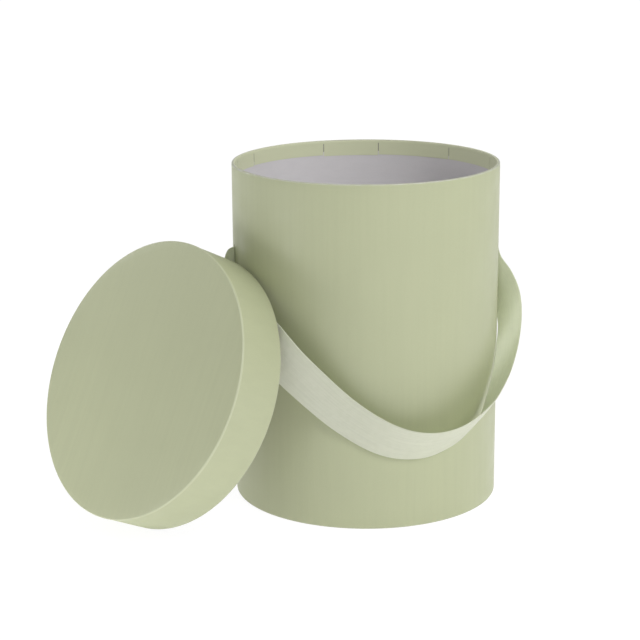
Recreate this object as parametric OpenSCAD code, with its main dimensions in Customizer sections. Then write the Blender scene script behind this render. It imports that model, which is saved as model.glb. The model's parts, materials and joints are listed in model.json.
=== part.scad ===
// Round paper-covered hat box with a lift-off lid and a ribbon carrying strap.
// Millimetres. The origin is on the box's axis at the floor, +Z is up, -Y is the
// front where the strap hangs, and the two strap slots are on -X and +X.
// The lid is off the box: it stands on the open edge of its rim and leans on the
// wall at the left.

/* [Box] */
// Outside diameter of the covered box
body_d = 200; // [190:1:212]
// Overall height of the box without its lid
body_h = 255; // [230:1:290]
// Thickness of the greyboard that the walls and discs are made of
board_t = 2; // [1.5:0.1:2.2]
// Thickness of the covering and lining papers
paper_t = 0.2; // [0.15:0.05:0.3]
// How far the covering paper is turned in over the rim
turn_in = 12; // [8:1:18]
// How far the covering paper is turned under the base
turn_under = 14; // [8:1:24]
// Number of cuts in the turned-in edge of the covering
fringe_cuts = 13; // [8:1:20]
// Width of each of those cuts
cut_w = 0.7; // [0.4:0.1:1.2]
// Width of the strip where the covering overlaps itself at the back
seam_w = 14; // [8:1:20]

/* [Lid] */
// Gap between the lid's lining and the box's wall, on the radius
lid_fit = 1.2; // [1:0.1:2]
// Depth of the lid's rim, top included
lid_h = 39; // [30:1:50]
// How far the top sheet is turned down over the lid's edge
top_lap = 1.2; // [0.8:0.1:3]
// Elevation of the lid's axis as it leans, 90 is flat on the floor
lean_up = 25.5; // [20:0.5:30]
// Compass direction that the lid's top faces, 0 is +X
lean_face = -150; // [-154:1:-148]
// Direction from the box's axis to the middle of the lid's open edge
lean_az = -170; // [-171:0.5:-169]
// Distance from the box's axis to the middle of the lid's open edge
lean_d = 151; // [150.5:0.5:156]

/* [Strap] */
// Width of the ribbon
ribbon_w = 32; // [30:1:32]
// Thickness of the ribbon
ribbon_t = 0.7; // [0.5:0.1:0.8]
// Height of the ribbon's middle where it leaves the slots
slot_z = 178.5; // [165:0.5:185]
// Length of each slot
slot_l = 36; // [34:1:40]
// Width of each slot
slot_w = 1.6; // [1.2:0.1:2.4]
// Length of ribbon glued to the inside of the wall
tail_l = 30; // [20:1:45]

/* [Hidden] */
$fn = 120;

// box radii, from the outside in
r_wrap = body_d / 2;
r_board = r_wrap - paper_t;
r_line = r_board - board_t;
r_in = r_line - paper_t;
// heights of the base stack
z_turn = paper_t;
z_board = 2 * paper_t;
z_base = z_board + board_t;
z_floor = z_base + paper_t;
z_turn_in = body_h - turn_in;

// lid radii, from the inside out
q_in = r_wrap + lid_fit;
q_line = q_in + paper_t;
q_board = q_line + board_t;
q_wrap = q_board + paper_t;
// small daylight under the lid's edge, so it never scrapes the floor
lid_gap = 0.3;

// size of this box against the one that the strap's stations were set out on
k = body_d / 200;
// stations of the ribbon's upper edge: x, y and height from the slot's middle
hi_at = [
  [101.2, 0, 16], [104, -0.5, 9.5], [106.5, -3, -2], [113, -11, -13], [115.5, -22, -26],
  [113.5, -34, -41.5], [106.5, -50, -57.5], [96, -69, -69.5], [81.5, -90, -79.5], [68, -104, -88],
  [45, -117.5, -97], [20, -121, -100.5], [-6, -118, -94.5], [-34, -108, -76.5], [-65, -98.5, -45],
  [-78.5, -89.5, -29.5], [-84.5, -74, -24], [-98, -57, -15.5], [-105.5, -38, -9.5], [-108, -19, -1],
  [-109, -10, 3], [-108.5, -3.5, 8], [-105.5, 0, 13.5], [-101.2, 0, 16]
];
// stations of its lower edge
lo_at = [
  [101.2, 0, -16], [103, 0, -22.5], [103, -4, -33.5], [101, -13, -42.5], [97.5, -27, -50.5],
  [91.5, -42.5, -61.5], [84.5, -55.5, -79], [75.5, -68, -94], [68.5, -76, -105.5], [58, -85, -112.5],
  [41, -95, -120.5], [16, -102, -125.5], [-14, -102, -120.5], [-46, -93, -102.5], [-80, -86, -73],
  [-93.5, -79, -57.5], [-101.5, -64, -48.5], [-111, -46, -41.5], [-112, -30, -39.5], [-110, -17, -32.5],
  [-109.5, -12, -28], [-108.5, -7, -23], [-105.5, -1, -18], [-101.2, 0, -16]
];
// points between two stations
per_station = 5;

function unit(v) = v / norm(v);
function pick(list, i) = list[max(0, min(len(list) - 1, i))];
// a point on the smooth curve through a list of stations
function along(list, i, t) =
  let (a = pick(list, i - 1), b = pick(list, i), c = pick(list, i + 1), d = pick(list, i + 2))
    0.5 * (2 * b + (c - a) * t + (2 * a - 5 * b + 4 * c - d) * t * t
      + (3 * b - a - 3 * c + d) * t * t * t);
function curve(list) = [
  for (i = [0 : len(list) - 2], j = [0 : per_station - 1]) along(list, i, j / per_station),
  list[len(list) - 1]
];
function placed(list) = [for (p = list) [p[0] * k, p[1] * k, p[2] * k + slot_z]];
// the edges, drawn in to the ribbon's width about its middle
hi_raw = curve(placed(hi_at));
lo_raw = curve(placed(lo_at));
strap_n = len(hi_raw);
mid = [for (i = [0 : strap_n - 1]) (hi_raw[i] + lo_raw[i]) / 2];
function lay(i) = hi_raw[i] - lo_raw[i];
function lay_w(i) = norm(lay(i)) * ribbon_w / (32 * k);
hi = [for (i = [0 : strap_n - 1]) mid[i] + unit(lay(i)) * lay_w(i) / 2];
lo = [for (i = [0 : strap_n - 1]) mid[i] - unit(lay(i)) * lay_w(i) / 2];
function run(i) = pick(mid, i + 1) - pick(mid, i - 1);
function face(i) = unit(cross(run(i), lay(i)));

// a flat ring between two heights
module ring(r0, r1, z0, z1) {
  rotate_extrude()
    translate([r0, z0])
      square([r1 - r0, z1 - z0]);
}

// a slot through the wall on both sides
module slots() {
  for (s = [-1, 1])
    translate([s * r_wrap - 10, -slot_w / 2, slot_z - slot_l / 2])
      cube([20, slot_w, slot_l]);
}

// narrow cuts that let a turned-in edge lie flat round the curve
module cuts(n, r, z0, z1) {
  for (i = [0 : n - 1])
    rotate([0, 0, 360 / n * (i + 0.5)])
      translate([r - 4, -cut_w / 2, z0])
        cube([4.001, cut_w, z1 - z0]);
}

// a piece of a thin ring, w wide along the curve and centred on angle a
module patch(r0, r1, z0, z1, a, w) {
  deg = w / r1 * 180 / PI;
  rotate([0, 0, a - deg / 2])
    rotate_extrude(angle = deg)
      translate([r0, z0])
        square([r1 - r0, z1 - z0]);
}

// moves the lid from its own frame (open edge down at z = 0) to where it leans
module leaning() {
  lift = q_wrap * cos(lean_up) + lid_gap;
  translate([lean_d * k * cos(lean_az), lean_d * k * sin(lean_az), lift])
    rotate([0, 90 - lean_up, lean_face])
      children();
}

// rolled greyboard tube
module body_board() {
  color([0.62, 0.60, 0.55])
    difference() {
      ring(r_line, r_board, z_board, body_h - paper_t);
      slots();
    }
}

// covering sheet: under the base, up the wall, over the rim and down inside
module body_wrap() {
  color([0.72, 0.76, 0.62])
    difference() {
      union() {
        rotate_extrude()
          polygon([
            [r_wrap - turn_under, z_turn], [r_wrap, z_turn], [r_wrap, body_h],
            [r_in, body_h], [r_in, z_turn_in], [r_line, z_turn_in],
            [r_line, body_h - paper_t], [r_board, body_h - paper_t],
            [r_board, z_board], [r_wrap - turn_under, z_board]
          ]);
        patch(r_wrap - paper_t / 2, r_wrap + paper_t, z_board, body_h - 1, 90, seam_w);
      }
      slots();
      cuts(fringe_cuts, r_line, z_turn_in - 1, body_h - 1.5);
    }
}

// lining sheet on the inside of the wall
module body_lining() {
  color([0.86, 0.85, 0.87])
    difference() {
      ring(r_in, r_line, z_floor, z_turn_in);
      slots();
    }
}

// greyboard disc set in the tube
module base_board() {
  color([0.62, 0.60, 0.55])
    translate([0, 0, z_board])
      cylinder(r = r_line, h = board_t);
}

// paper disc that hides the turned-under edge and meets the floor
module base_cover() {
  color([0.72, 0.76, 0.62])
    cylinder(r = r_wrap - 2, h = paper_t);
}

// lining disc on the inside of the base
module base_lining() {
  color([0.86, 0.85, 0.87])
    translate([0, 0, z_base])
      cylinder(r = r_line, h = paper_t);
}

// end of the ribbon: through the slot and glued flat on the lining
module tail(s) {
  x0 = min(s * r_in, s * (r_wrap + 0.8));
  a = s > 0 ? 0 : 180;
  translate([x0, -ribbon_t / 2, slot_z - ribbon_w / 2])
    cube([r_wrap + 0.8 - r_in, ribbon_t, ribbon_w]);
  rotate([0, 0, a])
    mirror([0, s > 0 ? 0 : 1, 0])
      tail_flat();
}
module tail_flat() {
  deg = tail_l / r_in * 180 / PI;
  half = asin(ribbon_t / 2 / r_in);
  rotate([0, 0, -half])
    rotate_extrude(angle = deg)
      translate([r_in - ribbon_t, slot_z - ribbon_w / 2])
        square([ribbon_t, ribbon_w]);
}
module strap_tail_left() {
  color([0.82, 0.82, 0.76])
    tail(-1);
}
module strap_tail_right() {
  color([0.82, 0.82, 0.76])
    tail(1);
}

// paper patch pasted over the glued end of the ribbon
module tail_patch(s) {
  deg = (tail_l + 6) / r_in * 180 / PI;
  rotate([0, 0, s > 0 ? 0 : 180])
    mirror([0, s > 0 ? 0 : 1, 0])
      rotate([0, 0, -2.5])
        rotate_extrude(angle = deg)
          translate([r_in - ribbon_t - paper_t, slot_z - ribbon_w / 2 - 5])
            square([paper_t, ribbon_w + 10]);
}
module tail_patch_left() {
  color([0.86, 0.85, 0.87])
    tail_patch(-1);
}
module tail_patch_right() {
  color([0.86, 0.85, 0.87])
    tail_patch(1);
}

// ribbon between the two slots, hanging in a loop across the front
module strap() {
  t = ribbon_t / 2;
  pts = [
    for (i = [0 : strap_n - 1])
      each [hi[i] + face(i) * t, hi[i] - face(i) * t, lo[i] - face(i) * t, lo[i] + face(i) * t]
  ];
  sides = [
    for (i = [0 : strap_n - 2], j = [0 : 3])
      let (a = 4 * i + j, b = 4 * i + (j + 1) % 4)
        each [[a, b, a + 4], [b, b + 4, a + 4]]
  ];
  n = 4 * (strap_n - 1);
  color([0.84, 0.84, 0.78])
    polyhedron(
      points = pts,
      faces = concat([[0, 3, 2], [0, 2, 1]], sides, [[n, n + 1, n + 2], [n, n + 2, n + 3]])
    );
}

// rolled greyboard ring of the lid
module lid_rim_board() {
  color([0.62, 0.60, 0.55])
    leaning()
      ring(q_line, q_board, paper_t, lid_h - paper_t - board_t);
}

// greyboard disc of the lid's top
module lid_top_board() {
  color([0.62, 0.60, 0.55])
    leaning()
      translate([0, 0, lid_h - paper_t - board_t])
        cylinder(r = q_board, h = board_t);
}

// sheet round the lid's rim, turned in at the open edge
module lid_rim_paper() {
  color([0.74, 0.78, 0.63])
    leaning()
      difference() {
        rotate_extrude()
          polygon([
            [q_in, 0], [q_wrap, 0], [q_wrap, lid_h - top_lap - 0.3],
            [q_board, lid_h - top_lap - 0.3], [q_board, paper_t], [q_line, paper_t],
            [q_line, turn_in], [q_in, turn_in]
          ]);
        cuts(fringe_cuts, q_line, 1.5, turn_in + 1);
      }
}

// sheet on the lid's top, turned down over its edge
module lid_top_paper() {
  color([0.66, 0.70, 0.57])
    leaning()
      rotate_extrude()
        polygon([
          [0, lid_h - paper_t], [q_board, lid_h - paper_t], [q_board, lid_h - top_lap],
          [q_wrap, lid_h - top_lap], [q_wrap, lid_h], [0, lid_h]
        ]);
}

// lining on the inside of the lid's rim
module lid_rim_lining() {
  color([0.86, 0.85, 0.87])
    leaning()
      ring(q_in, q_line, turn_in, lid_h - paper_t - board_t - paper_t);
}

// lining disc inside the lid's top
module lid_top_lining() {
  color([0.86, 0.85, 0.87])
    leaning()
      translate([0, 0, lid_h - 2 * paper_t - board_t])
        cylinder(r = q_line, h = paper_t);
}

body_board();
body_wrap();
body_lining();
base_board();
base_cover();
base_lining();
strap_tail_left();
strap_tail_right();
tail_patch_left();
tail_patch_right();
strap();
lid_rim_board();
lid_top_board();
lid_rim_paper();
lid_top_paper();
lid_rim_lining();
lid_top_lining();
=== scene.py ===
import json
import math

import bpy
import numpy as np
from mathutils import Matrix, Vector


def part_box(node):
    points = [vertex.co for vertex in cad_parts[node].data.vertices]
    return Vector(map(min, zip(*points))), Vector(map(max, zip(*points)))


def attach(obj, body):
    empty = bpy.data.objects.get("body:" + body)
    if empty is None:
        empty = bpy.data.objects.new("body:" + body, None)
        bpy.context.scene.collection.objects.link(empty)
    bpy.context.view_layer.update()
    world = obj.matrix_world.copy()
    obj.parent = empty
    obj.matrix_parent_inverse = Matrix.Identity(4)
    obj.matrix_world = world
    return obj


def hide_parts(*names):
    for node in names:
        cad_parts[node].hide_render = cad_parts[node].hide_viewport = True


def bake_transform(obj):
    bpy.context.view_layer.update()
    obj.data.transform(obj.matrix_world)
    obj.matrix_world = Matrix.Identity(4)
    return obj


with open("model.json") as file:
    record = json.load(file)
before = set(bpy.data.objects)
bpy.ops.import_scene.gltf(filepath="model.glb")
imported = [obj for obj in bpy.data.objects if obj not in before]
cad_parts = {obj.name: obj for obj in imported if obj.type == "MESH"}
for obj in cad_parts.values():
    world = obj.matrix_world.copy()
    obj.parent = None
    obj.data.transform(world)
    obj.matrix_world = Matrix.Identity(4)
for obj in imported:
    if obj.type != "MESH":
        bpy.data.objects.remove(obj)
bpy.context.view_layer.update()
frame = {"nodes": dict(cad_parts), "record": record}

MM = 0.001
rad = math.radians

# ---------------------------------------------------------------- dimensions, from the frame and part.scad
# the box: an outer radius, and inward from it the cover's back, the board's back and the lining's face
wrap_low, wrap_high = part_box("body_wrap")
board_low, board_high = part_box("base_board")
BODY_R = round(wrap_high.x, 4)
BODY_H = round(wrap_high.z, 4)
PAPER = round(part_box("base_cover")[1].z, 5)
BOARD = round(board_high.z - board_low.z, 5)
R_BOARD = BODY_R - PAPER
R_LINE = R_BOARD - BOARD
R_IN = R_LINE - PAPER
Z_FLOOR = 3 * PAPER + BOARD
TURN_IN = 12 * MM
TURN_UNDER = 14 * MM
SEAM_W = 14 * MM

# the slots and the ribbon; the strap's hinge is at the height of the slots' middle
SWING = next(j for j in frame["record"]["behaviour"]["joints"] if j["name"] == "strap_swing")
SLOT_Z = SWING["pos_m"][2]
SLOT_L = 36 * MM
SLOT_W = 1.6 * MM
RIBBON_W = 32 * MM
RIBBON_T = 0.6 * MM
TAIL_L = 30 * MM

# the lid, from its inner radius outward, and how it leans
LID_FIT = 1.2 * MM
LID_H = 39 * MM
TOP_LAP = 1.2 * MM
Q_IN = BODY_R + LID_FIT
Q_WRAP = Q_IN + PAPER + BOARD + PAPER
LID_R = Q_WRAP + 0.22 * MM
LEAN_UP = rad(25.5)
LEAN_FACE = rad(-150)
LEAN_AZ = rad(-170)
LEAN_D = 151 * MM
LID_GAP = 0.3 * MM
LID = (
    Matrix.Translation((
        LEAN_D * math.cos(LEAN_AZ), LEAN_D * math.sin(LEAN_AZ), Q_WRAP * math.cos(LEAN_UP) + LID_GAP))
    @ Matrix.Rotation(LEAN_FACE, 4, "Z")
    @ Matrix.Rotation(math.pi / 2 - LEAN_UP, 4, "Y")
)

# directions of the hand-cut slits in the turned-in edges, in degrees
SLITS = [1, 34, 70, 96, 138, 158, 178, 207, 236, 262, 289, 315, 338]

# the ribbon's upper and lower edge: x, y and height from the slot's middle, in mm
UPPER = [
    (99.2, 0, 16), (101.2, 0, 16), (104, -0.5, 9.5), (106.5, -3, -2), (113, -11, -13),
    (115.5, -22, -26), (113.5, -34, -41.5), (106.5, -50, -57.5), (96, -69, -69.5), (81.5, -90, -79.5),
    (68, -104, -88), (45, -117.5, -97), (20, -121, -100.5), (-6, -118, -94.5), (-34, -108, -76.5),
    (-65, -98.5, -45), (-78.5, -89.5, -29.5), (-84.5, -74, -24), (-98, -57, -15.5), (-105.5, -38, -9.5),
    (-108, -19, -1), (-109, -10, 3), (-108.5, -3.5, 8), (-105.5, 0, 13.5), (-101.2, 0, 16),
    (-99.2, 0, 16)]
LOWER = [
    (99.2, 0, -16), (101.2, 0, -16), (103, 0, -22.5), (103, -4, -33.5), (100.5, -13, -42.5),
    (97.5, -27, -50.5), (91.5, -42.5, -61.5), (84.5, -55.5, -79), (75.5, -68, -94), (68.5, -76, -105.5),
    (58, -85, -112.5), (41, -95, -120.5), (16, -102, -125.5), (-14, -102, -120.5), (-46, -93, -102.5),
    (-80, -86, -73), (-93.5, -79, -57.5), (-101.5, -64, -48.5), (-111, -46, -41.5), (-112, -30, -39.5),
    (-110, -17, -32.5), (-109.5, -12, -28), (-108.5, -7, -23), (-105.5, -1, -18), (-101.2, 0, -16),
    (-99.2, 0, -16)]


# ---------------------------------------------------------------- mesh helpers
def new_object(name, points, faces, matrix=None, sharp=35):
    """A smooth-shaded mesh object; sharp is the angle from which settle keeps an edge sharp."""
    mesh = bpy.data.meshes.new(name)
    mesh.from_pydata([tuple(p) for p in points], [], [tuple(int(i) for i in f) for f in faces])
    mesh.validate()
    mesh.update()
    mesh.shade_smooth()
    obj = bpy.data.objects.new(name, mesh)
    bpy.context.scene.collection.objects.link(obj)
    if matrix is not None:
        obj.matrix_world = matrix
    obj["sharp"] = sharp
    return obj


def settle(obj):
    """Applies the object's modifiers and marks its sharp edges."""
    bpy.context.view_layer.update()
    done = bpy.data.meshes.new_from_object(obj.evaluated_get(bpy.context.evaluated_depsgraph_get()))
    obj.modifiers.clear()
    obj.data = done
    done.name = obj.name
    done.shade_smooth()
    done.set_sharp_from_angle(angle=rad(obj["sharp"]))
    del obj["sharp"]
    return obj


def thicken(obj, thickness):
    """Turns an open sheet, the outer face, into a closed one with its thickness behind it."""
    m = obj.modifiers.new("thickness", "SOLIDIFY")
    m.thickness = thickness
    m.offset = -1
    m.use_even_offset = False
    return settle(obj)


def arc(cr, cz, radius, a0, a1, n=5):
    """Points of a rounded corner in a path, angles in degrees."""
    return [(cr + radius * math.cos(rad(a)), cz + radius * math.sin(rad(a))) for a in np.linspace(a0, a1, n)]


def run(p, q, step):
    """Evenly spaced points from p to q without q."""
    n = max(1, round(math.dist(p, q) / step))
    return [(p[0] + (q[0] - p[0]) * i / n, p[1] + (q[1] - p[1]) * i / n) for i in range(n)]


def with_breaks(values, breaks, near):
    """An even list of values with a few exact ones put in place of their neighbours."""
    kept = [v for v in values if all(abs(v - b) > near for b in breaks)]
    return np.array(sorted(kept + list(breaks)))


def shell(name, path, turns, thickness, shape=None, hole=None, closed=True, matrix=None, flip=False):
    """A paper sheet that follows path, a list of (radius, height), at each angle in turns.

    shape(angle, radius, height, way) moves the points, where way is the distance along the path.
    hole(angle, way) says which faces to leave out, and flip turns the outer face to the other side.
    """
    path = np.array(path)
    a, r = np.meshgrid(turns, path[:, 0], indexing="ij")
    z = np.broadcast_to(path[:, 1], a.shape).copy()
    s = np.broadcast_to(np.r_[0, np.cumsum(np.hypot(*np.diff(path, axis=0).T))], a.shape)
    if shape:
        a, r, z = shape(a, r, z, s)
    pts = np.stack([r * np.cos(a), r * np.sin(a), z], -1).reshape(-1, 3)
    n, m = len(turns), len(path)
    faces = []
    for i in range(n if closed else n - 1):
        k = (i + 1) % n
        mid = (turns[i] + turns[k] + (2 * math.pi if k == 0 else 0)) / 2
        for j in range(m - 1):
            if hole and hole(mid, (s[0, j] + s[0, j + 1]) / 2):
                continue
            f = (i * m + j, k * m + j, k * m + j + 1, i * m + j + 1)
            faces.append(f[::-1] if flip else f)
    obj = new_object(name, pts, faces, matrix)
    tidy = obj.modifiers.new("tidy", "WELD")
    tidy.merge_threshold = 1e-6
    return thicken(obj, thickness)


def disc(name, radius, z, thickness, edge=0.0, bow=0.0, up=True, matrix=None):
    """A cut paper disc with a slightly uneven edge, its shown face at z."""
    turns = np.linspace(-math.pi, math.pi, 181)[:-1]
    path = run((radius, z), (radius * 0.06, z), radius / 12) + [(radius * 0.06, z), (0, z)]

    def shape(a, r, z0, s):
        out = 1 - edge * (0.5 + 0.5 * np.sin(5 * a + 1.3) * np.sin(11 * a)) * (r > radius * 0.99)
        return a, r * out, z0 + bow * wave(a, r * 9) * np.clip(r / (radius * 0.3), 0, 1)

    return shell(name, path, turns, thickness, shape, matrix=matrix, flip=not up)


def wave(a, v):
    """Slow unevenness from 0 to 1, over an angle and a second value."""
    w = (np.sin(2 * a + 0.7) + 0.8 * np.sin(3 * a - 1.9 + 1.3 * np.sin(v * 1.7 + 0.4))
         + 0.6 * np.sin(5 * a + 2.1 * np.sin(v + 1.1)) + 0.5 * np.sin(7 * a + 3 * v))
    return np.clip(w / 5.8 + 0.5, 0, 1)


# ---------------------------------------------------------------- material helpers
def nodes_of(name):
    """A new material with its tree and its shader."""
    mat = bpy.data.materials.new(name)
    mat.use_nodes = True
    tree = mat.node_tree
    return mat, tree, tree.nodes["Principled BSDF"]


class Nodes:
    """Short calls for making and linking shader nodes."""

    def __init__(self, tree):
        self.tree = tree

    def put(self, socket, value):
        if isinstance(value, bpy.types.NodeSocket):
            self.tree.links.new(value, socket)
        else:
            socket.default_value = value

    def coords(self, scale=(1, 1, 1)):
        at = self.tree.nodes.new("ShaderNodeTexCoord").outputs["Object"]
        m = self.tree.nodes.new("ShaderNodeMapping")
        m.inputs["Scale"].default_value = scale
        self.put(m.inputs["Vector"], at)
        return m.outputs["Vector"]

    def noise(self, vector, scale, detail=3.0, rough=0.55):
        n = self.tree.nodes.new("ShaderNodeTexNoise")
        n.inputs["Scale"].default_value = scale
        n.inputs["Detail"].default_value = detail
        n.inputs["Roughness"].default_value = rough
        self.put(n.inputs["Vector"], vector)
        return n.outputs["Fac"]

    def math(self, op, a, b=0.0):
        n = self.tree.nodes.new("ShaderNodeMath")
        n.operation = op
        self.put(n.inputs[0], a)
        self.put(n.inputs[1], b)
        return n.outputs[0]

    def between(self, value, a, b, to_a=0.0, to_b=1.0):
        n = self.tree.nodes.new("ShaderNodeMapRange")
        n.interpolation_type = "SMOOTHSTEP"
        self.put(n.inputs["Value"], value)
        for socket, v in zip(("From Min", "From Max", "To Min", "To Max"), (a, b, to_a, to_b)):
            n.inputs[socket].default_value = v
        return n.outputs["Result"]

    def mix(self, fac, a, b):
        n = self.tree.nodes.new("ShaderNodeMix")
        n.data_type = "RGBA"
        self.put(n.inputs["Factor"], fac)
        self.put(n.inputs["A"], a if isinstance(a, bpy.types.NodeSocket) else (*a, 1))
        self.put(n.inputs["B"], b if isinstance(b, bpy.types.NodeSocket) else (*b, 1))
        return n.outputs["Result"]

    def xyz(self, vector):
        n = self.tree.nodes.new("ShaderNodeSeparateXYZ")
        self.put(n.inputs[0], vector)
        return n.outputs

    def attribute(self, name):
        n = self.tree.nodes.new("ShaderNodeAttribute")
        n.attribute_name = name
        return n.outputs["Fac"]

    def bump(self, height, distance, strength, before=None):
        n = self.tree.nodes.new("ShaderNodeBump")
        n.inputs["Distance"].default_value = distance
        n.inputs["Strength"].default_value = strength
        self.put(n.inputs["Height"], height)
        if before is not None:
            self.put(n.inputs["Normal"], before)
        return n.outputs["Normal"]


def shade(colour, k):
    """The colour made lighter or darker."""
    return tuple(c * k for c in colour)


def paper_material(name, colour, gloss, edges=(), grain=(260, 260, 9), wear_and_highlight=0.35, ring=None):
    """Coated paper with slow tone changes and fine fibres along the way in which grain is smallest.

    edges are pairs of heights between which the paper turns paler, by as much as the next argument says; the
    paler line is partly worn paper and partly painted highlight.
    ring is (radius without, radius with, height above which it shows, colour) for a band of another tone; its
    callers use it for painted light, and at the lid's edge for worn paper as well.
    """
    mat, tree, out = nodes_of(name)
    n = Nodes(tree)
    at = n.coords()
    tone = n.noise(at, 9, 2)
    streak = n.noise(n.coords(grain), 1.0, 4, 0.6)
    fibre = n.noise(at, 1500, 3, 0.65)
    fleck = n.noise(at, 420, 2)
    base = n.mix(n.between(tone, 0.3, 0.7), shade(colour, 0.975), shade(colour, 1.02))
    base = n.mix(n.between(streak, 0.35, 0.68, 0, 0.55), base, shade(colour, 0.955))
    base = n.mix(n.between(fibre, 0.35, 0.7, 0, 0.4), base, shade(colour, 1.05))
    base = n.mix(n.between(fleck, 0.66, 0.76, 0, 0.25), base, shade(colour, 0.9))
    pale = tuple(min(1.0, 0.45 * c + 0.36) for c in colour)
    # each edge gets a paler line, partly worn paper and partly painted highlight
    for plain_at, full in edges:
        along = n.between(n.xyz(n.coords())[2], plain_at, full)
        worn_and_highlit = n.math("MULTIPLY", along, n.between(n.noise(at, 160, 3), 0.3, 0.62, 0.35, 1.0))
        base = n.mix(n.math("MULTIPLY", worn_and_highlit, wear_and_highlight), base, pale)
    # a band of another tone, used for painted light
    if ring:
        none_at, full_at, above, ring_colour = ring
        x, y, z = n.xyz(n.coords())
        out_by = n.math("SQRT", n.math("ADD", n.math("MULTIPLY", x, x), n.math("MULTIPLY", y, y)))
        in_ring = n.math("MULTIPLY", n.between(out_by, none_at, full_at), n.between(z, above, above + MM))
        base = n.mix(in_ring, base, ring_colour)
    tree.links.new(base, out.inputs["Base Color"])
    roughness = n.between(n.noise(at, 60, 3), 0.3, 0.7, gloss - 0.05, gloss + 0.06)
    tree.links.new(roughness, out.inputs["Roughness"])
    out.inputs["Specular IOR Level"].default_value = 0.5
    soft = n.bump(streak, 0.05 * MM, 0.35)
    tree.links.new(n.bump(fibre, 0.04 * MM, 0.5, soft), out.inputs["Normal"])
    return mat


def board_material():
    """Rough grey pressed board with dark and pale flecks."""
    mat, tree, out = nodes_of("greyboard")
    n = Nodes(tree)
    at = n.coords()
    base = n.mix(n.noise(at, 300, 4), (0.30, 0.28, 0.24), (0.42, 0.40, 0.36))
    base = n.mix(n.between(n.noise(at, 900, 2), 0.62, 0.7, 0, 0.7), base, (0.16, 0.15, 0.13))
    tree.links.new(base, out.inputs["Base Color"])
    tree.links.new(n.between(n.noise(at, 200, 2), 0.3, 0.7, 0.82, 0.95), out.inputs["Roughness"])
    tree.links.new(n.bump(n.noise(at, 1300, 3), 0.1 * MM, 0.6), out.inputs["Normal"])
    return mat


WARP_PITCH = 0.42 * MM
WEFT_PITCH = 0.55 * MM
RIBBON_THROUGH = 0.32


def ribbon_material(colour, underside_with_reflection):
    """Satin ribbon: fine lines along it, closer ribs across it, a firmer selvedge and a soft sheen."""
    mat, tree, out = nodes_of("ribbon_satin")
    n = Nodes(tree)
    along, across = n.attribute("along"), n.attribute("across")
    warp = n.math("SINE", n.math("MULTIPLY", across, 2 * math.pi / WARP_PITCH))
    weft = n.math("SINE", n.math("MULTIPLY", along, 2 * math.pi / WEFT_PITCH))
    side = n.math("ABSOLUTE", across)
    selvedge = n.between(side, RIBBON_W / 2 - 1.1 * MM, RIBBON_W / 2 - 0.8 * MM)
    # threads are long along the ribbon and narrow across it
    band = tree.nodes.new("ShaderNodeCombineXYZ")
    n.put(band.inputs[0], n.math("MULTIPLY", along, 25))
    n.put(band.inputs[1], n.math("MULTIPLY", across, 900))
    thread = n.noise(band.outputs[0], 1.0, 3, 0.6)
    slub = n.noise(n.coords(), 240, 3)
    face = n.mix(n.between(thread, 0.35, 0.7, 0, 0.5), shade(colour, 1.03), shade(colour, 0.93))
    # the reverse face takes a greener tone, a painted reflection of the green wall
    under = n.mix(n.between(thread, 0.35, 0.7, 0, 0.5), shade(underside_with_reflection, 1.03), shade(underside_with_reflection, 0.93))
    base = n.mix(n.attribute("reverse"), face, under)
    base = n.mix(n.between(slub, 0.35, 0.7, 0, 0.12), base, shade(underside_with_reflection, 0.8))
    base = n.mix(n.math("MULTIPLY", selvedge, 0.25), base, shade(underside_with_reflection, 0.9))
    tree.links.new(base, out.inputs["Base Color"])
    tree.links.new(n.between(thread, 0.3, 0.7, 0.42, 0.56), out.inputs["Roughness"])
    out.inputs["Specular IOR Level"].default_value = 0.45
    out.inputs["Sheen Weight"].default_value = 0.25
    out.inputs["Sheen Roughness"].default_value = 0.4
    out.inputs["Sheen Tint"].default_value = (0.95, 0.97, 0.9, 1)
    weave = n.math("ADD", n.math("MULTIPLY", warp, 0.6), n.math("MULTIPLY", weft, 0.4))
    bump = n.bump(weave, 0.03 * MM, 0.4)
    bump = n.bump(thread, 0.05 * MM, 0.3, bump)
    normal = n.bump(selvedge, 0.15 * MM, 0.5, bump)
    tree.links.new(normal, out.inputs["Normal"])
    # some of the light comes through from the other side
    through = tree.nodes.new("ShaderNodeBsdfTranslucent")
    tree.links.new(base, through.inputs["Color"])
    tree.links.new(normal, through.inputs["Normal"])
    both = tree.nodes.new("ShaderNodeMixShader")
    both.inputs[0].default_value = RIBBON_THROUGH
    tree.links.new(out.outputs[0], both.inputs[1])
    tree.links.new(through.outputs[0], both.inputs[2])
    tree.links.new(both.outputs[0], tree.nodes["Material Output"].inputs["Surface"])
    return mat


# base colours, in linear light
SAGE = (0.462, 0.489, 0.312)
LILAC = (0.73, 0.71, 0.725)
CREAM = (0.80, 0.81, 0.70)
# the ribbon's reverse face, greener than its front: a painted reflection of the green wall
UNDERSIDE_PAINTED_REFLECTION = (0.78, 0.82, 0.64)
# a paler tone for the turned-in strip inside the rim: painted light
TURNED_IN_PAINTED_LIGHT = (0.72, 0.75, 0.52)
# a paler tone for the ring at the lid top's edge: partly worn paper, partly painted highlight
WORN_AND_HIGHLIT_EDGE = (0.53, 0.555, 0.38)
COVER_GLOSS = 0.44
LINING_GLOSS = 0.72

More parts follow.
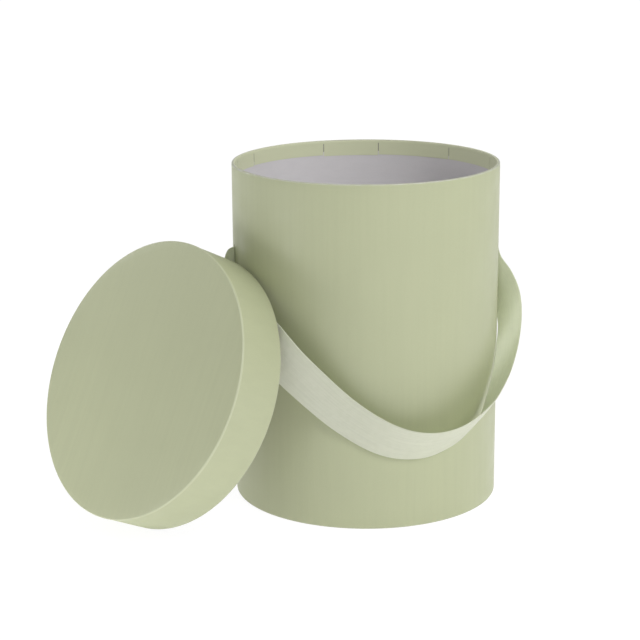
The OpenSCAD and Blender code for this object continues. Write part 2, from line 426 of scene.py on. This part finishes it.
# on the wall the pale line along the rim's top is partly worn paper and partly painted highlight, the foot
# has a pale line too, and the band on the turned-in strip inside is painted light
wall_paper = paper_material(
    "sage_paper_wall", SAGE, COVER_GLOSS,
    edges=[(BODY_H - 1.1 * MM, BODY_H - 0.4 * MM), (1.2 * MM, 0.3 * MM)],
    wear_and_highlight=0.8, ring=(BODY_R - 1.3 * MM, BODY_R - 1.7 * MM, BODY_H / 2, TURNED_IN_PAINTED_LIGHT))
rim_paper = paper_material(
    "sage_paper_lid_rim", SAGE, COVER_GLOSS, edges=[(1.2 * MM, 0.2 * MM)], grain=(150, 150, 60))
# the ring just inside the lid top's edge is partly worn paper and partly painted highlight
top_paper = paper_material(
    "sage_paper_lid_top", SAGE, COVER_GLOSS, grain=(9, 260, 260),
    ring=(LID_R - 0.9 * MM, LID_R - 0.4 * MM, 0, WORN_AND_HIGHLIT_EDGE))
lining_paper = paper_material("lining_paper", LILAC, LINING_GLOSS, grain=(60, 60, 200))
greyboard = board_material()
satin = ribbon_material(CREAM, UNDERSIDE_PAINTED_REFLECTION)


def finish_piece(obj, body, material, slot, *replaced):
    """Gives a piece its material and the body it rides on, and hides the CAD nodes it stands for; slot is not
    used.
    """
    obj.data.materials.clear()
    obj.data.materials.append(material)
    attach(obj, body)
    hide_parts(*replaced)


# ---------------------------------------------------------------- body covering
def turned(a):
    """The angle between minus and plus half a turn."""
    return (a + math.pi) % (2 * math.pi) - math.pi


FOLD = 0.85 * MM
SLIT_W = 0.7 * MM
NEAR = rad(0.3)
STEP_UP = rad(0.05)
even = np.linspace(-math.pi, math.pi, 289)[:-1]
slits = [turned(rad(a)) for a in SLITS]
slit_half = SLIT_W / 2 / R_IN
slit_breaks = [a + s for a in slits for s in (-slit_half, slit_half)]
slot_half = SLOT_W / 2 / BODY_R
slot_breaks = [-slot_half, slot_half, math.pi - slot_half, -math.pi + slot_half]
slot_heights = [SLOT_Z - SLOT_L / 2, SLOT_Z + SLOT_L / 2]
seam_half = SEAM_W / 2 / BODY_R
seam_start = math.pi / 2 - seam_half
seam_end = math.pi / 2 + 1.6 * seam_half
wall_turns = with_breaks(even, slit_breaks + slot_breaks + [seam_start, seam_start - STEP_UP], NEAR)


def upright(r, z0, z1, breaks=(), step=7 * MM):
    """A straight run of a path from z0 up to z1, with points at breaks."""
    stops = [z0, *breaks, z1]
    return [p for a, b in zip(stops, stops[1:]) for p in run((r, a), (r, b), step)]


# from under the base, up the outside, over the rim and down the inside
wall_foot = (
    run((BODY_R - TURN_UNDER, PAPER), (BODY_R - FOLD, PAPER), 4 * MM)
    + arc(BODY_R - FOLD, PAPER + FOLD, FOLD, -90, 0)[:-1]
)
wall_path = (
    wall_foot
    + upright(BODY_R, PAPER + FOLD, BODY_H - FOLD, slot_heights)
    + arc(BODY_R - FOLD, BODY_H - FOLD, FOLD, 0, 90)
    + arc(R_IN + FOLD, BODY_H - FOLD, FOLD, 90, 180)
    + run((R_IN, BODY_H - FOLD), (R_IN, BODY_H - TURN_IN), 1.6 * MM)[1:]
    + [(R_IN, BODY_H - TURN_IN)]
)
wall_lengths = np.r_[0, np.cumsum(np.hypot(*np.diff(np.array(wall_path), axis=0).T))]
# distances along the path of the slots' ends, of the turned-in edge and of where its slits start
slot_ways = [wall_lengths[len(wall_foot)] + h - (PAPER + FOLD) for h in slot_heights]
turned_in_at = wall_lengths[-1] - TURN_IN
slit_start = turned_in_at + 1.8 * MM


def at_slot(mid):
    """Whether an angle is at one of the two slots."""
    return min(abs(turned(mid)), abs(turned(mid - math.pi))) < slot_half * 1.01


def at_slit(mid):
    """Whether an angle is at one of the slits."""
    return any(abs(turned(mid - x)) < slit_half for x in slits)


def wall_hole(mid, s):
    return (at_slot(mid) and slot_ways[0] < s < slot_ways[1]) or (at_slit(mid) and s > slit_start)


def wall_shape(a, r, z, s):
    outside = (s > TURN_UNDER) & (s < turned_in_at)
    up = np.clip((z - 2 * MM) / (BODY_H - 4 * MM), 0, 1)
    push = 0.16 * MM * wave(a, up * 3.1) * outside
    # the covering's own end, lapped over its start at the back
    lap = (a >= seam_start - 1e-6) * np.clip((seam_end - a) / (seam_half * 1.2), 0, 1)
    push = push + PAPER * lap * (outside & (z > 1.5 * MM) & (z < BODY_H - 0.6 * MM))
    # the lips of the slots are pressed outward a little
    near = np.minimum(np.abs(turned(a)), np.abs(turned(a - math.pi))) * BODY_R
    beyond = np.clip(np.abs(z - SLOT_Z) - SLOT_L / 2, 0, None)
    lip = np.exp(-((near - SLOT_W / 2) / (1.6 * MM)) ** 2 - (beyond / (1.5 * MM)) ** 2)
    push = push + 0.25 * MM * lip * outside
    # tongues cut by hand are a little uneven in length, and their ends lift
    inside = s > slit_start
    depth = np.clip((s - slit_start) / (wall_lengths[-1] - slit_start), 0, 1) * inside
    first_on = [(x - slits[0]) % (2 * math.pi) for x in slits]
    tongue = np.floor(np.interp((a - slits[0]) % (2 * math.pi), np.sort(first_on), range(len(slits))))
    z = z + depth * 0.45 * MM * np.sin(tongue * 2.3 + 0.5)
    r = r + push - depth ** 2 * 0.12 * MM * (0.5 + 0.5 * np.sin(tongue * 1.7 + 9 * a))
    # the rim isn't quite level
    z = z + 0.18 * MM * (wave(a + 1, 2.0) - 0.5) * (z > BODY_H - 0.5 * TURN_IN)
    return a, r, z


body_cover = shell("cover_wall", wall_path, wall_turns, PAPER, wall_shape, wall_hole)
finish_piece(body_cover, "box", wall_paper, "cover_paper", "body_wrap")

# ---------------------------------------------------------------- body lining and base
LINING_R = R_IN + 0.14 * MM
LINING_TOP = BODY_H - TURN_IN + 3 * MM
LINING_LAP = rad(-62)
LAP_FADE = rad(7)
lining_path = upright(LINING_R, LINING_TOP, Z_FLOOR, slot_heights[::-1]) + [(LINING_R, Z_FLOOR)]


def lining_hole(mid, s):
    return at_slot(mid) and slot_heights[0] < LINING_TOP - s < slot_heights[1]


def lining_shape(a, r, z, s):
    r = r - 0.12 * MM * wave(a - 1, z * 14)
    past = turned(a - LINING_LAP)
    lap = (past >= 0) * np.clip(1 - past / LAP_FADE, 0, 1)
    return a, r - lap * PAPER, z


lining_turns = with_breaks(even, slot_breaks + [LINING_LAP, LINING_LAP - STEP_UP], NEAR)
body_lining = shell("lining_wall", lining_path, lining_turns, PAPER, lining_shape, lining_hole)
finish_piece(body_lining, "box", lining_paper, "lining_paper", "body_lining")

base_lining = disc("lining_base", R_IN - 0.4 * MM, Z_FLOOR, PAPER, edge=0.004, bow=0.15 * MM)
finish_piece(base_lining, "box", lining_paper, "lining_paper", "base_lining")

base_cover = disc("cover_base", BODY_R - 2 * MM, 0.0, PAPER, edge=0.004, up=False)
finish_piece(base_cover, "box", top_paper, "cover_paper", "base_cover")

# ---------------------------------------------------------------- lid
lid_turns = with_breaks(even, slit_breaks, NEAR)
rim_top = LID_H - 0.7 * MM
lid_rim_path = (
    run((Q_IN, TURN_IN), (Q_IN, FOLD), 1.6 * MM)
    + arc(Q_IN + FOLD, FOLD, FOLD, 180, 270)
    + arc(Q_WRAP - FOLD, FOLD, FOLD, -90, 0)
    + upright(Q_WRAP, FOLD, rim_top, step=5 * MM)[1:]
    + [(Q_WRAP, rim_top)]
)
rim_slit_end = TURN_IN - 1.8 * MM


def rim_hole(mid, s):
    return s < rim_slit_end and at_slit(mid)


def rim_shape(a, r, z, s):
    # the tongues inside are uneven, and the outside swells a little between its edges
    outside = s > TURN_IN
    depth = np.clip(1 - s / rim_slit_end, 0, 1)
    z = z + depth * 0.5 * MM * np.sin(4 * np.floor((a % (2 * math.pi)) * 2.07) + 0.5)
    r = r - depth ** 2 * 0.1 * MM * (0.5 + 0.5 * np.sin(9 * a))
    mid = np.sin(np.clip(z / LID_H, 0, 1) * math.pi)
    return a, r + 0.14 * MM * wave(a + 2.2, z * 30) * outside * mid, z


lid_rim = shell("lid_cover_rim", lid_rim_path, lid_turns, PAPER, rim_shape, rim_hole, matrix=LID)
finish_piece(lid_rim, "lid", rim_paper, "cover_paper", "lid_rim_paper")

# the top's sheet, from its turned-down edge to its middle
TOP_FOLD = 0.9 * MM
lid_top_path = (
    [(LID_R + 0.05 * MM, LID_H - TOP_LAP - 0.6 * MM), (LID_R, LID_H - TOP_LAP)]
    + arc(LID_R - TOP_FOLD, LID_H - TOP_FOLD, TOP_FOLD, 0, 90)
    + run((LID_R - TOP_FOLD, LID_H), (5 * MM, LID_H), 6 * MM)[1:]
    + [(5 * MM, LID_H), (0, LID_H)]
)


def top_shape(a, r, z, s):
    # the cut edge wanders, and the face is slightly domed and uneven
    z = np.where(s < 0.7 * MM, z + 0.25 * MM * np.sin(7 * a) * np.sin(3 * a + 1), z)
    inner = np.clip(r / LID_R, 0, 1)
    dome = 0.2 * MM * (1 - inner ** 2) * (s > 3 * MM)
    return a, r, z + dome + 0.1 * MM * wave(a, r * 20) * inner ** 2 * (s > 4 * MM)


lid_top = shell("lid_cover_top", lid_top_path, even, PAPER, top_shape, matrix=LID)
finish_piece(lid_top, "lid", top_paper, "cover_paper", "lid_top_paper")

# the lid's linings
lid_lining_r = Q_IN + 0.12 * MM
lid_ceiling_z = LID_H - PAPER - BOARD - PAPER
lid_lining_end = (lid_lining_r, TURN_IN - 2 * MM)
lid_lining = shell(
    "lid_lining_rim", run((lid_lining_r, lid_ceiling_z), lid_lining_end, 5 * MM) + [lid_lining_end],
    even, PAPER, lambda a, r, z, s: (a, r - 0.1 * MM * wave(a, z * 20), z), matrix=LID)
finish_piece(lid_lining, "lid", lining_paper, "lining_paper", "lid_rim_lining")
lid_ceiling = disc(
    "lid_lining_top", Q_IN - 0.4 * MM, lid_ceiling_z, PAPER, edge=0.004, bow=-0.15 * MM, up=False, matrix=LID)
finish_piece(lid_ceiling, "lid", lining_paper, "lining_paper", "lid_top_lining")


# ---------------------------------------------------------------- ribbon
def smooth_curve(points, steps):
    """The smooth curve through the points, as in part.scad, with steps points for each stretch."""
    p = np.array(points, float)
    out = []
    for i in range(len(p) - 1):
        a, b, c, d = p[max(i - 1, 0)], p[i], p[i + 1], p[min(i + 2, len(p) - 1)]
        t = np.linspace(0, 1, steps, endpoint=False)[:, None]
        out.append(0.5 * (
            2 * b + (c - a) * t + (2 * a - 5 * b + 4 * c - d) * t ** 2 + (3 * b - a - 3 * c + d) * t ** 3))
    return np.vstack(out + [p[-1:]])


# places across the ribbon, from one edge to the other, closer together at the selvedges
SIDE = [-1, -0.985, -0.965, -0.94, -0.91, -0.87, -0.78, -0.65, -0.5, -0.33, -0.16, 0,
        0.16, 0.33, 0.5, 0.65, 0.78, 0.87, 0.91, 0.94, 0.965, 0.985, 1]


def ribbon(name, upper, lower, width, thickness, cup=None):
    """A closed ribbon with thicker selvedges between two edge lines, and its along and across attributes."""
    centre = (upper + lower) / 2
    lay = upper - lower
    lay = lay / np.linalg.norm(lay, axis=1)[:, None]
    way = np.gradient(centre, axis=0)
    face = np.cross(lay, way)
    face = face / np.linalg.norm(face, axis=1)[:, None]
    u = np.array(SIDE)
    bead = 1 + 0.35 * np.exp(-((np.abs(u) - 0.955) / 0.025) ** 2)
    half = thickness / 2 * bead * np.sqrt(np.clip(1 - (np.clip(np.abs(u) - 0.95, 0, 1) / 0.05) ** 2, 0, 1))
    spine = centre[:, None] + lay[:, None] * (u * width / 2)[None, :, None]
    if cup is not None:
        spine = spine + face[:, None] * cup(np.linspace(0, 1, len(centre))[:, None], u[None])[..., None]
    front = spine + face[:, None] * half[None, :, None]
    back = (spine - face[:, None] * half[None, :, None])[:, -2:0:-1]
    ring = np.concatenate([front, back], axis=1)
    n, m = ring.shape[:2]
    faces = [
        (i * m + j, (i + 1) * m + j, (i + 1) * m + (j + 1) % m, i * m + (j + 1) % m)
        for i in range(n - 1) for j in range(m)]
    faces += [tuple(range(m)), tuple((n - 1) * m + j for j in range(m))[::-1]]
    obj = new_object(name, ring.reshape(-1, 3), faces, sharp=60)
    far = np.r_[0, np.cumsum(np.linalg.norm(np.diff(centre, axis=0), axis=1))]
    across = np.concatenate([u, u[-2:0:-1]]) * width / 2
    reverse = np.r_[np.zeros(len(u)), np.ones(len(u) - 2)]
    attributes = {"along": np.repeat(far, m), "across": np.tile(across, n), "reverse": np.tile(reverse, n)}
    for label, values in attributes.items():
        layer = obj.data.attributes.new(label, "FLOAT", "POINT")
        layer.data.foreach_set("value", values.astype(np.float32))
    return settle(obj)


def loop_cup(t, u):
    """How far the ribbon's middle stands off the line between its edges."""
    end = np.clip(np.minimum(t, 1 - t) / 0.08, 0, 1)
    bow = 0.5 * MM * (1 - u ** 2) * np.sin(t * math.pi)
    ripple = 0.25 * MM * np.sin(41 * t + 2.2 * u) * np.sin(13 * t + 0.4) * (0.4 + 0.6 * u ** 2)
    return (bow + ripple) * end


CURVE_STEPS = 14
slot_middle = np.array([0, 0, SLOT_Z])
upper = smooth_curve(UPPER, CURVE_STEPS) * MM + slot_middle
lower = smooth_curve(LOWER, CURVE_STEPS) * MM + slot_middle
strap = ribbon("ribbon_strap", upper, lower, RIBBON_W, RIBBON_T, loop_cup)
strap.data.materials.append(satin)
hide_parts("strap")


def tail_line(side):
    """The ribbon's way in through the slot and along the inside of the wall, in plan."""
    bend = 1.2 * MM
    r = R_IN - RIBBON_T / 2 - 0.05 * MM
    pts = [(x, 0.0) for x in np.linspace(BODY_R + 0.8 * MM, r + bend, 6)]
    quarter = np.linspace(0, math.pi / 2, 7)[1:]
    pts += [(r + bend - bend * math.sin(t), bend - bend * math.cos(t)) for t in quarter]
    start = math.asin(bend / r)
    pts += [(r * math.cos(t), r * math.sin(t)) for t in np.linspace(start, TAIL_L / R_IN, 14)[1:]]
    return np.array([(side * x, y) for x, y in pts])


for label, side in (("left", -1), ("right", 1)):
    plan = tail_line(side)
    rows = [np.c_[plan, np.full(len(plan), SLOT_Z + s * RIBBON_W / 2)] for s in (1, -1)]
    tail = ribbon("ribbon_tail_" + label, rows[0], rows[1], RIBBON_W - 0.2 * MM, RIBBON_T - 0.1 * MM)
    finish_piece(tail, "box", satin, "ribbon", "strap_tail_" + label)
    # a paper patch pasted over the glued tail
    half_h = RIBBON_W / 2 + 5 * MM
    low_z, high_z = SLOT_Z - half_h, SLOT_Z + half_h
    first, last = rad(-2.5), (TAIL_L + 5 * MM) / R_IN

    def patch_shape(a, r, z, s, side=side):
        over = np.clip((RIBBON_W / 2 + 1.2 * MM - np.abs(z - SLOT_Z)) / (1.2 * MM), 0, 1)
        over = over * np.clip((TAIL_L + 1.5 * MM - a * R_IN) / (1.5 * MM), 0, 1)
        over = over * np.clip((a * R_IN + 2.5 * MM) / (1.5 * MM), 0, 1)
        raised = RIBBON_T * over ** 2 * (3 - 2 * over)
        corner = (np.abs(z - SLOT_Z) > half_h - 0.5 * MM) & (a > last - 0.01)
        r = r - raised - 0.06 * MM * wave(a * 9, z * 60)
        z = z + np.where(corner, -np.sign(z - SLOT_Z) * 0.8 * MM, 0)
        return (a if side > 0 else math.pi - a), r, z

    turns = np.linspace(first, last, 30)
    path = [(R_IN - 0.02 * MM, z) for z in np.linspace(high_z, low_z, 34)]
    patch = shell("tail_cover_" + label, path, turns, PAPER, patch_shape, closed=False, flip=side < 0)
    finish_piece(patch, "box", lining_paper, "lining_paper", "tail_patch_" + label)

# ---------------------------------------------------------------- carried-over boards
for name in ("body_board", "base_board", "lid_rim_board", "lid_top_board"):
    board = frame["nodes"][name]
    for i in range(max(1, len(board.material_slots))):
        if board.material_slots:
            board.material_slots[i].material = greyboard
        else:
            board.data.materials.append(greyboard)

# ---------------------------------------------------------------- the ribbon's hinge
# the hinge's line runs from the right slot to where the lid holds the ribbon; from it come the ways down and
# to the front, square to that line, and the ribbon's placing is baked into its mesh
hinge, line = Vector(SWING["pos_m"]), Vector(SWING["axis"]).normalized()
below = Vector((0, 0, -1))
down = (below - line * below.dot(line)).normalized()
front = line.cross(down)
front = -front if front.y > 0 else front
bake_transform(strap)

# ---------------------------------------------------------------- floor, light and camera
FLOOR_HALF = 4
FLOOR_DROP = 0.02 * MM
FLOOR_FILL = 0.48
FLOOR_WHITE = 1.02
WORLD_LIGHT = 0.385
WHITE_SEEN = 1.05
corners = [(x * FLOOR_HALF, y * FLOOR_HALF, 0) for x, y in ((-1, -1), (1, -1), (1, 1), (-1, 1))]
floor_mesh = bpy.data.meshes.new("floor")
floor_mesh.from_pydata(corners, [], [(0, 1, 2, 3)])
floor = bpy.data.objects.new("floor", floor_mesh)
floor.location.z = -FLOOR_DROP
bpy.context.scene.collection.objects.link(floor)
floor_mat, tree, out = nodes_of("studio_floor")
n = Nodes(tree)
out.inputs["Base Color"].default_value = (0.9, 0.9, 0.9, 1)
out.inputs["Roughness"].default_value = 0.9
out.inputs["Specular IOR Level"].default_value = 0.0
out.inputs["Emission Color"].default_value = (1, 1, 1, 1)
out.inputs["Emission Strength"].default_value = FLOOR_FILL
# the floor is seen as a white page with a faint shadow near the object
glow = tree.nodes.new("ShaderNodeEmission")
glow.inputs["Color"].default_value = (1, 1, 1, 1)
glow.inputs["Strength"].default_value = FLOOR_WHITE
seen = tree.nodes.new("ShaderNodeLightPath").outputs["Is Camera Ray"]
both = tree.nodes.new("ShaderNodeMixShader")
length = tree.nodes.new("ShaderNodeVectorMath")
length.operation = "LENGTH"
n.put(length.inputs[0], n.coords())
n.put(both.inputs[0], n.math("MULTIPLY", seen, n.between(length.outputs["Value"], 0.35, 1.0, 0.8, 1.0)))
tree.links.new(out.outputs[0], both.inputs[1])
tree.links.new(glow.outputs[0], both.inputs[2])
tree.links.new(both.outputs[0], tree.nodes["Material Output"].inputs["Surface"])
floor.data.materials.append(floor_mat)

world = bpy.data.worlds.new("studio")
bpy.context.scene.world = world
world.use_nodes = True
tree = world.node_tree
n = Nodes(tree)
back = tree.nodes["Background"]
back.inputs["Color"].default_value = (1, 1, 1, 1)
seen = tree.nodes.new("ShaderNodeLightPath").outputs["Is Camera Ray"]
n.put(back.inputs["Strength"], n.between(seen, 0, 1, WORLD_LIGHT, WHITE_SEEN))


def area_light(name, at, aim, size, watts):
    """A round white light of a given width, aimed at a point."""
    light = bpy.data.lights.new(name, "AREA")
    light.shape = "DISK"
    light.size = size
    light.energy = watts
    obj = bpy.data.objects.new(name, light)
    obj.location = at
    obj.rotation_euler = (Vector(aim) - Vector(at)).to_track_quat("-Z", "Y").to_euler()
    bpy.context.scene.collection.objects.link(obj)


area_light("key", at=(0.85, -1.6, 1.4), aim=(0, 0, 0.12), size=1.1, watts=17)
area_light("fill", at=(-0.5, -0.12, 0.09), aim=(-0.22, -0.05, 0.1), size=0.14, watts=0.2)
area_light("kicker", at=(-0.65, 0.55, 0.45), aim=(-0.1, 0.0, 0.17), size=0.3, watts=1.1)
area_light("top", at=(0.25, -0.2, 1.3), aim=(-0.05, -0.05, 0.1), size=0.8, watts=3.6)

# the camera is turned right from the y axis by its heading and down by its tilt, both in radians
HEADING = rad(12.5)
TILT = 0.2570
ROLL = 0.0059
LENS = 102.61
SPOT = Vector((-0.3257, -1.3087, 0.4862))
right = Vector((math.cos(HEADING), -math.sin(HEADING), 0))
ahead = Vector((
    math.sin(HEADING) * math.cos(TILT), math.cos(HEADING) * math.cos(TILT), -math.sin(TILT)))
up = right.cross(ahead)
right, up = right * math.cos(ROLL) - up * math.sin(ROLL), up * math.cos(ROLL) + right * math.sin(ROLL)
camera_data = bpy.data.cameras.new("camera")
camera_data.sensor_width = 36
camera_data.lens = LENS
camera = bpy.data.objects.new("camera", camera_data)
bpy.context.scene.collection.objects.link(camera)
camera.matrix_world = Matrix((
    (right.x, up.x, -ahead.x, SPOT.x),
    (right.y, up.y, -ahead.y, SPOT.y),
    (right.z, up.z, -ahead.z, SPOT.z),
    (0, 0, 0, 1)))
bpy.context.scene.camera = camera
bpy.context.scene.view_settings.view_transform = "Standard"
